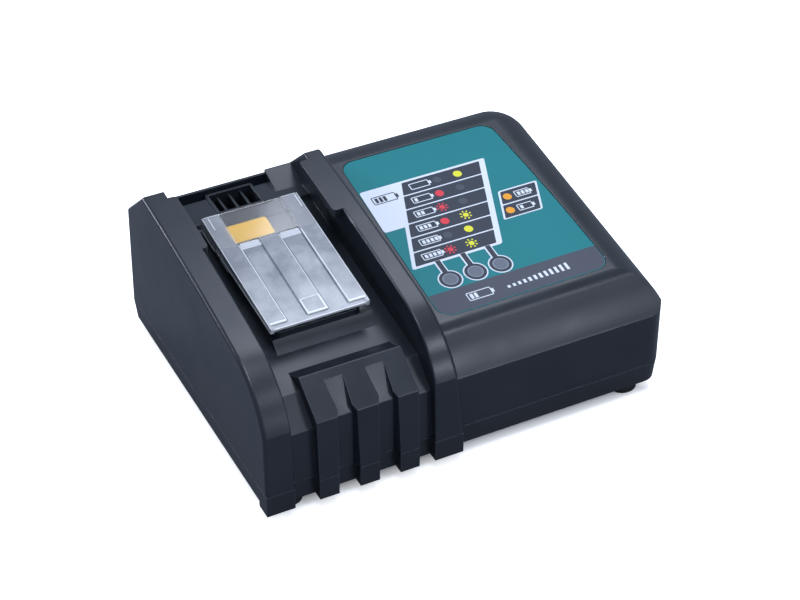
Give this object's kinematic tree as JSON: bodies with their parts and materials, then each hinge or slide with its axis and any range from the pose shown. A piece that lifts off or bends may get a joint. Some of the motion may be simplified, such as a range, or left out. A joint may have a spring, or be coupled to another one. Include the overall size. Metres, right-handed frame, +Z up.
{
  "type": "power tool battery charger",
  "caption": "Mains charger for slide-on tool batteries, with a railed battery bay, a sliding clear terminal cover, a cooling fan and an indicator panel.",
  "frame": {"origin": "on the floor, under the middle of the charger's bounding box", "axes": "+Z up, -Y is the ribbed front that the battery slides in from, +X is the side with the indicator panel"},
  "size_m": [0.19, 0.15, 0.084],
  "materials": {
    "housing_plastic": "fine moulded texture, near-black with a blue cast",
    "clear_cover_plastic": "smoky clear moulded plastic",
    "inner_black_plastic": "plain black moulded",
    "duct_plastic": "plain dark grey moulded",
    "yellow_plastic": "smooth moulded yellow",
    "label_film": "smooth printed film",
    "lens_plastic": "frosted clear",
    "red_lamp_plastic": "tinted clear",
    "yellow_lamp_plastic": "tinted clear",
    "amber_lamp_plastic": "tinted clear",
    "nickel_plate": "bright nickel plate",
    "spring_steel": "drawn wire",
    "screw_steel": "zinc plated",
    "circuit_board": "green solder resist",
    "ferrite": "dark fired ferrite",
    "winding_tape": "yellow film tape over copper",
    "copper_wire": "enamelled copper wire",
    "capacitor_sleeve": "dark shrink sleeve",
    "aluminium": "plain extruded",
    "fuse_glass": "clear glass tube",
    "gland_rubber": "soft black rubber"
  },
  "bodies": {
    "charger": {"upper_housing": "housing_plastic", "lower_housing": "housing_plastic", "left_cover_spring": "spring_steel", "right_cover_spring": "spring_steel", "terminal_block": "inner_black_plastic", "negative_blade": "nickel_plate", "positive_blade": "nickel_plate", "signal_connector": "yellow_plastic", "signal_pins": "nickel_plate", "fan_frame": "inner_black_plastic", "air_duct": "duct_plastic", "main_board": "circuit_board", "board_screws": "screw_steel", "transformer_core": "ferrite", "transformer_winding": "winding_tape", "bulk_capacitor": "capacitor_sleeve", "output_capacitors": "capacitor_sleeve", "primary_heat_sink": "aluminium", "secondary_heat_sink": "aluminium", "power_transistors": "inner_black_plastic", "mains_filter_capacitor": "yellow_plastic", "choke_core": "ferrite", "choke_winding": "copper_wire", "fuse": "fuse_glass", "fuse_clips": "nickel_plate", "sounder": "inner_black_plastic", "indicator_board": "circuit_board", "indicator_screws": "screw_steel", "red_lamp": "red_lamp_plastic", "yellow_lamp": "yellow_lamp_plastic", "amber_lamp": "amber_lamp_plastic", "light_guides": "lens_plastic", "display_label": "label_film", "cord_gland": "gland_rubber", "rubber_feet": "gland_rubber", "housing_screws": "screw_steel"},
    "cover": {"terminal_cover": "clear_cover_plastic"},
    "fan": {"fan_impeller": "inner_black_plastic", "fan_axle": "spring_steel"}
  },
  "joints": [
    {"name": "cover_slide", "type": "slide", "parent": "charger", "child": "cover", "axis": [0, 0.9921, 0.1253], "range_m": [0, 0.018], "stiffness_N_per_m": 150, "springref_m": -0.01, "deforming": ["left_cover_spring", "right_cover_spring"]},
    {"name": "fan_spin", "type": "hinge", "parent": "charger", "child": "fan", "pos_m": [-0.0504, 0.0475, 0.03], "axis": [0, 0, 1], "continuous": true}
  ]
}
